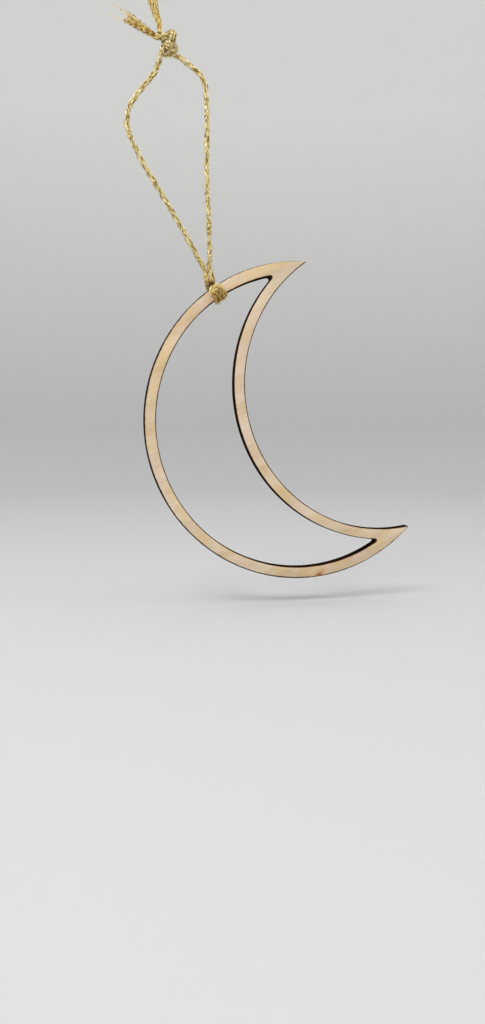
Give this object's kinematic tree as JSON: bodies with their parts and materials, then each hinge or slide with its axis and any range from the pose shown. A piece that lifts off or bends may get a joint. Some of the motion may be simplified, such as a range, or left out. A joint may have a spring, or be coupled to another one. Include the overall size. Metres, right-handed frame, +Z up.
{
  "type": "moon ornament",
  "caption": "Openwork crescent moon ornament cut from thin plywood, hitched onto a hanging loop of metallic cord with a tied top and frayed tails.",
  "frame": {"origin": "where the twig or peg that carries the loop touches it, just under the overhand knot, with the moon hanging plumb below", "axes": "+Z up along the plumb line, +Y from the moon's front face to its back, +X to the right of someone who looks at the front"},
  "size_m": [0.0704, 0.0066, 0.1658],
  "materials": {
    "birch_veneer": "sanded, unvarnished",
    "core_wood": "charred by the laser at its cut edges",
    "gold_cord": "twisted metallic yarn"
  },
  "bodies": {
    "tied_end": {"overhand_knot": "gold_cord", "left_tail": "gold_cord", "right_tail": "gold_cord"},
    "cord_loop": {"left_leg": "gold_cord", "right_leg": "gold_cord"},
    "hitch": {"lark_head_hitch": "gold_cord"},
    "moon": {"front_veneer": "birch_veneer", "core_ply": "core_wood", "back_veneer": "birch_veneer"}
  },
  "joints": [
    {"name": "loop_swing", "type": "hinge", "parent": "tied_end", "child": "cord_loop", "pos_m": [0, 0, 0.0031], "axis": [0, 1, 0], "range_deg": [-40, 40]},
    {"name": "moon_spin", "type": "hinge", "parent": "cord_loop", "child": "hitch", "pos_m": [-0.002, 0, -0.0568], "axis": [-0.041, 0, 0.9992], "range_deg": [-90, 90]},
    {"name": "band_slide", "type": "hinge", "parent": "hitch", "child": "moon", "pos_m": [0.01529, 0, -0.10273], "axis": [0, 1, 0], "range_deg": [-16, 172]}
  ]
}
